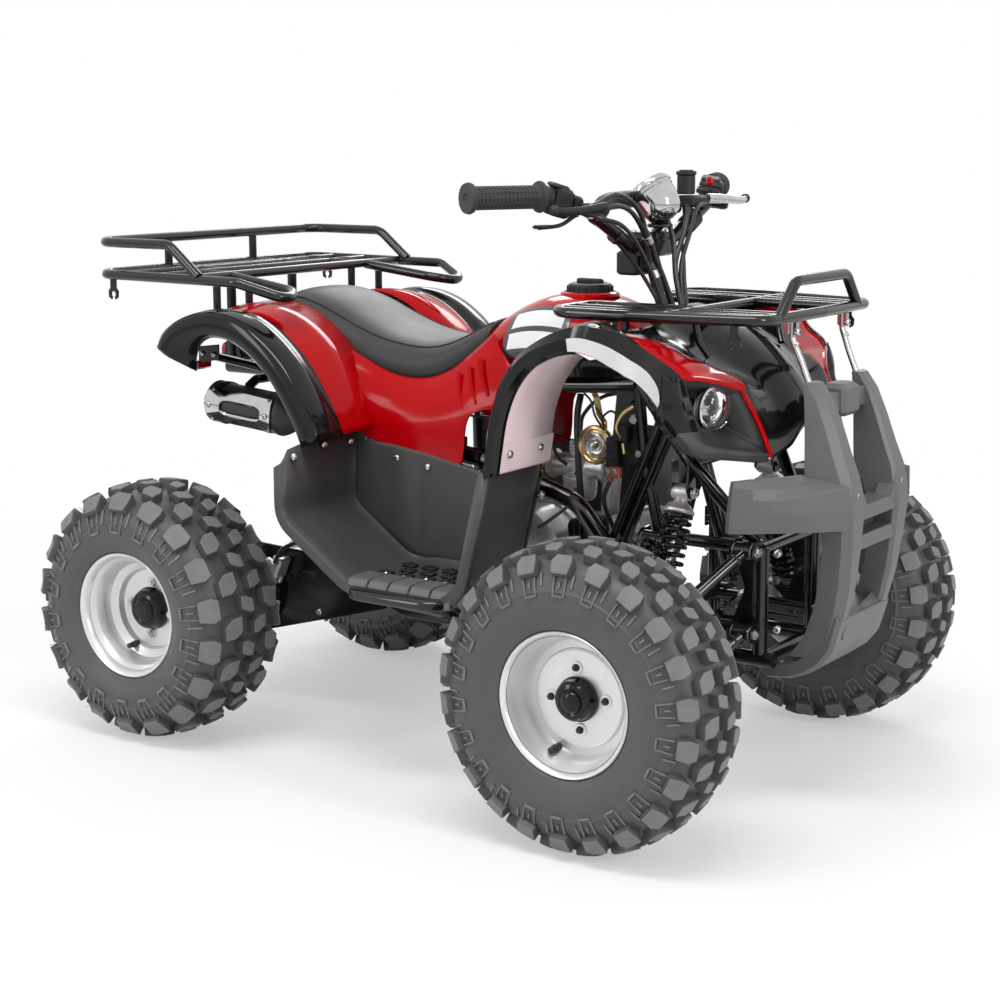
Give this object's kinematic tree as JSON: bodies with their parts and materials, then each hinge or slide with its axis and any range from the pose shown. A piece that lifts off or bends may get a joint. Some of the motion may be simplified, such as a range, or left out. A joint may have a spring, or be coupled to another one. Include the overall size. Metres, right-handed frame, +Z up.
{
  "type": "quad bike",
  "caption": "Small utility quad bike with open engine, knobbly tyres, two tubular luggage racks and a moulded front bumper.",
  "frame": {"origin": "on the ground under the middle of the bounding box", "axes": "+X forward, +Y to the rider's left, +Z up"},
  "size_m": [1.4692, 1.012, 1.0132],
  "materials": {
    "frame_black": "gloss black paint",
    "suspension_black": "satin black paint",
    "engine_alloy": "cast, matt",
    "black_plastic": "fine grained charcoal",
    "bumper_plastic": "fine grained grey",
    "gloss_black": "polished black",
    "red_plastic": "polished metallic red",
    "vinyl": "grained dark grey vinyl",
    "tyre_rubber": "moulded tyre rubber",
    "rim_silver": "silver paint",
    "steel": "turned steel",
    "chrome": "polished chrome",
    "grip_rubber": "matt",
    "brass_yellow": "passivated",
    "lamp_lens": "clear over a faceted reflector",
    "tail_red": "clear red"
  },
  "bodies": {
    "chassis": {"frame_lower": "frame_black", "frame_front": "frame_black", "frame_spine": "frame_black", "arms_left": "suspension_black", "arms_right": "suspension_black", "front_shocks": "suspension_black", "rear_shock": "suspension_black", "swingarm": "suspension_black", "drive_chain": "steel", "guard_plate": "suspension_black", "engine_case": "engine_alloy", "engine_cylinder": "engine_alloy", "carburettor": "engine_alloy", "silencer": "suspension_black", "exhaust_pipe": "suspension_black", "horn": "brass_yellow", "front_fender_left": "gloss_black", "front_fender_right": "gloss_black", "rear_fender_left": "gloss_black", "rear_fender_right": "gloss_black", "hood": "gloss_black", "headlamps": "lamp_lens", "tank_cover": "red_plastic", "fuel_cap": "black_plastic", "side_panels": "red_plastic", "seat": "vinyl", "tail_lamp": "tail_red", "footwell_left": "black_plastic", "footwell_right": "black_plastic", "footrest_bars": "frame_black", "rear_rack": "frame_black", "front_rack": "frame_black", "front_bumper": "bumper_plastic"},
    "steering": {"steering_column": "suspension_black", "handlebar": "frame_black", "grips": "grip_rubber", "switchgear": "black_plastic", "gauge": "chrome"},
    "rear_axle": {"rear_axle": "steel", "rim_rear_left": "rim_silver", "rim_rear_right": "rim_silver", "tyre_rear_left": "tyre_rubber", "tyre_rear_right": "tyre_rubber"},
    "knuckle_left": {"knuckle_left": "suspension_black"},
    "tie_rod_left": {"tie_rod_left": "steel"},
    "wheel_front_left": {"tyre_front_left": "tyre_rubber", "rim_front_left": "rim_silver", "hub_front_left": "steel"},
    "knuckle_right": {"knuckle_right": "suspension_black"},
    "tie_rod_right": {"tie_rod_right": "steel"},
    "wheel_front_right": {"tyre_front_right": "tyre_rubber", "rim_front_right": "rim_silver", "hub_front_right": "steel"}
  },
  "joints": [
    {"name": "steering_turn", "type": "hinge", "parent": "chassis", "child": "steering", "pos_m": [0.465, 0, 0.365], "axis": [-0.2985, 0, 0.9544], "range_deg": [-28, 28]},
    {"name": "rear_axle_spin", "type": "hinge", "parent": "chassis", "child": "rear_axle", "pos_m": [-0.507, 0, 0.232], "axis": [0, 1, 0], "continuous": true},
    {"name": "knuckle_left_turn", "type": "hinge", "parent": "chassis", "child": "knuckle_left", "pos_m": [0.445, 0.375, 0.241], "axis": [0, 0, 1], "range_deg": [-28, 28]},
    {"name": "tie_rod_left_swing", "type": "hinge", "parent": "steering", "child": "tie_rod_left", "pos_m": [0.51988, 0.015, 0.35702], "axis": [-0.2985, 0, 0.9544], "range_deg": [-28.6, 28.6]},
    {"name": "wheel_front_left_spin", "type": "hinge", "parent": "knuckle_left", "child": "wheel_front_left", "pos_m": [0.445, 0.4195, 0.241], "axis": [0, 1, 0], "continuous": true},
    {"name": "knuckle_right_turn", "type": "hinge", "parent": "chassis", "child": "knuckle_right", "pos_m": [0.445, -0.375, 0.241], "axis": [0, 0, 1], "range_deg": [-28, 28]},
    {"name": "tie_rod_right_swing", "type": "hinge", "parent": "steering", "child": "tie_rod_right", "pos_m": [0.51988, -0.015, 0.35702], "axis": [-0.2985, 0, 0.9544], "range_deg": [-28.6, 28.6]},
    {"name": "wheel_front_right_spin", "type": "hinge", "parent": "knuckle_right", "child": "wheel_front_right", "pos_m": [0.445, -0.4195, 0.241], "axis": [0, 1, 0], "continuous": true}
  ],
  "couplings": [
    {"joint": "knuckle_left_turn", "follows": "steering_turn", "ratio": 1},
    {"joint": "tie_rod_left_swing", "follows": "steering_turn", "ratio": -1.0195},
    {"joint": "knuckle_right_turn", "follows": "steering_turn", "ratio": 1},
    {"joint": "tie_rod_right_swing", "follows": "steering_turn", "ratio": -1.0195}
  ]
}
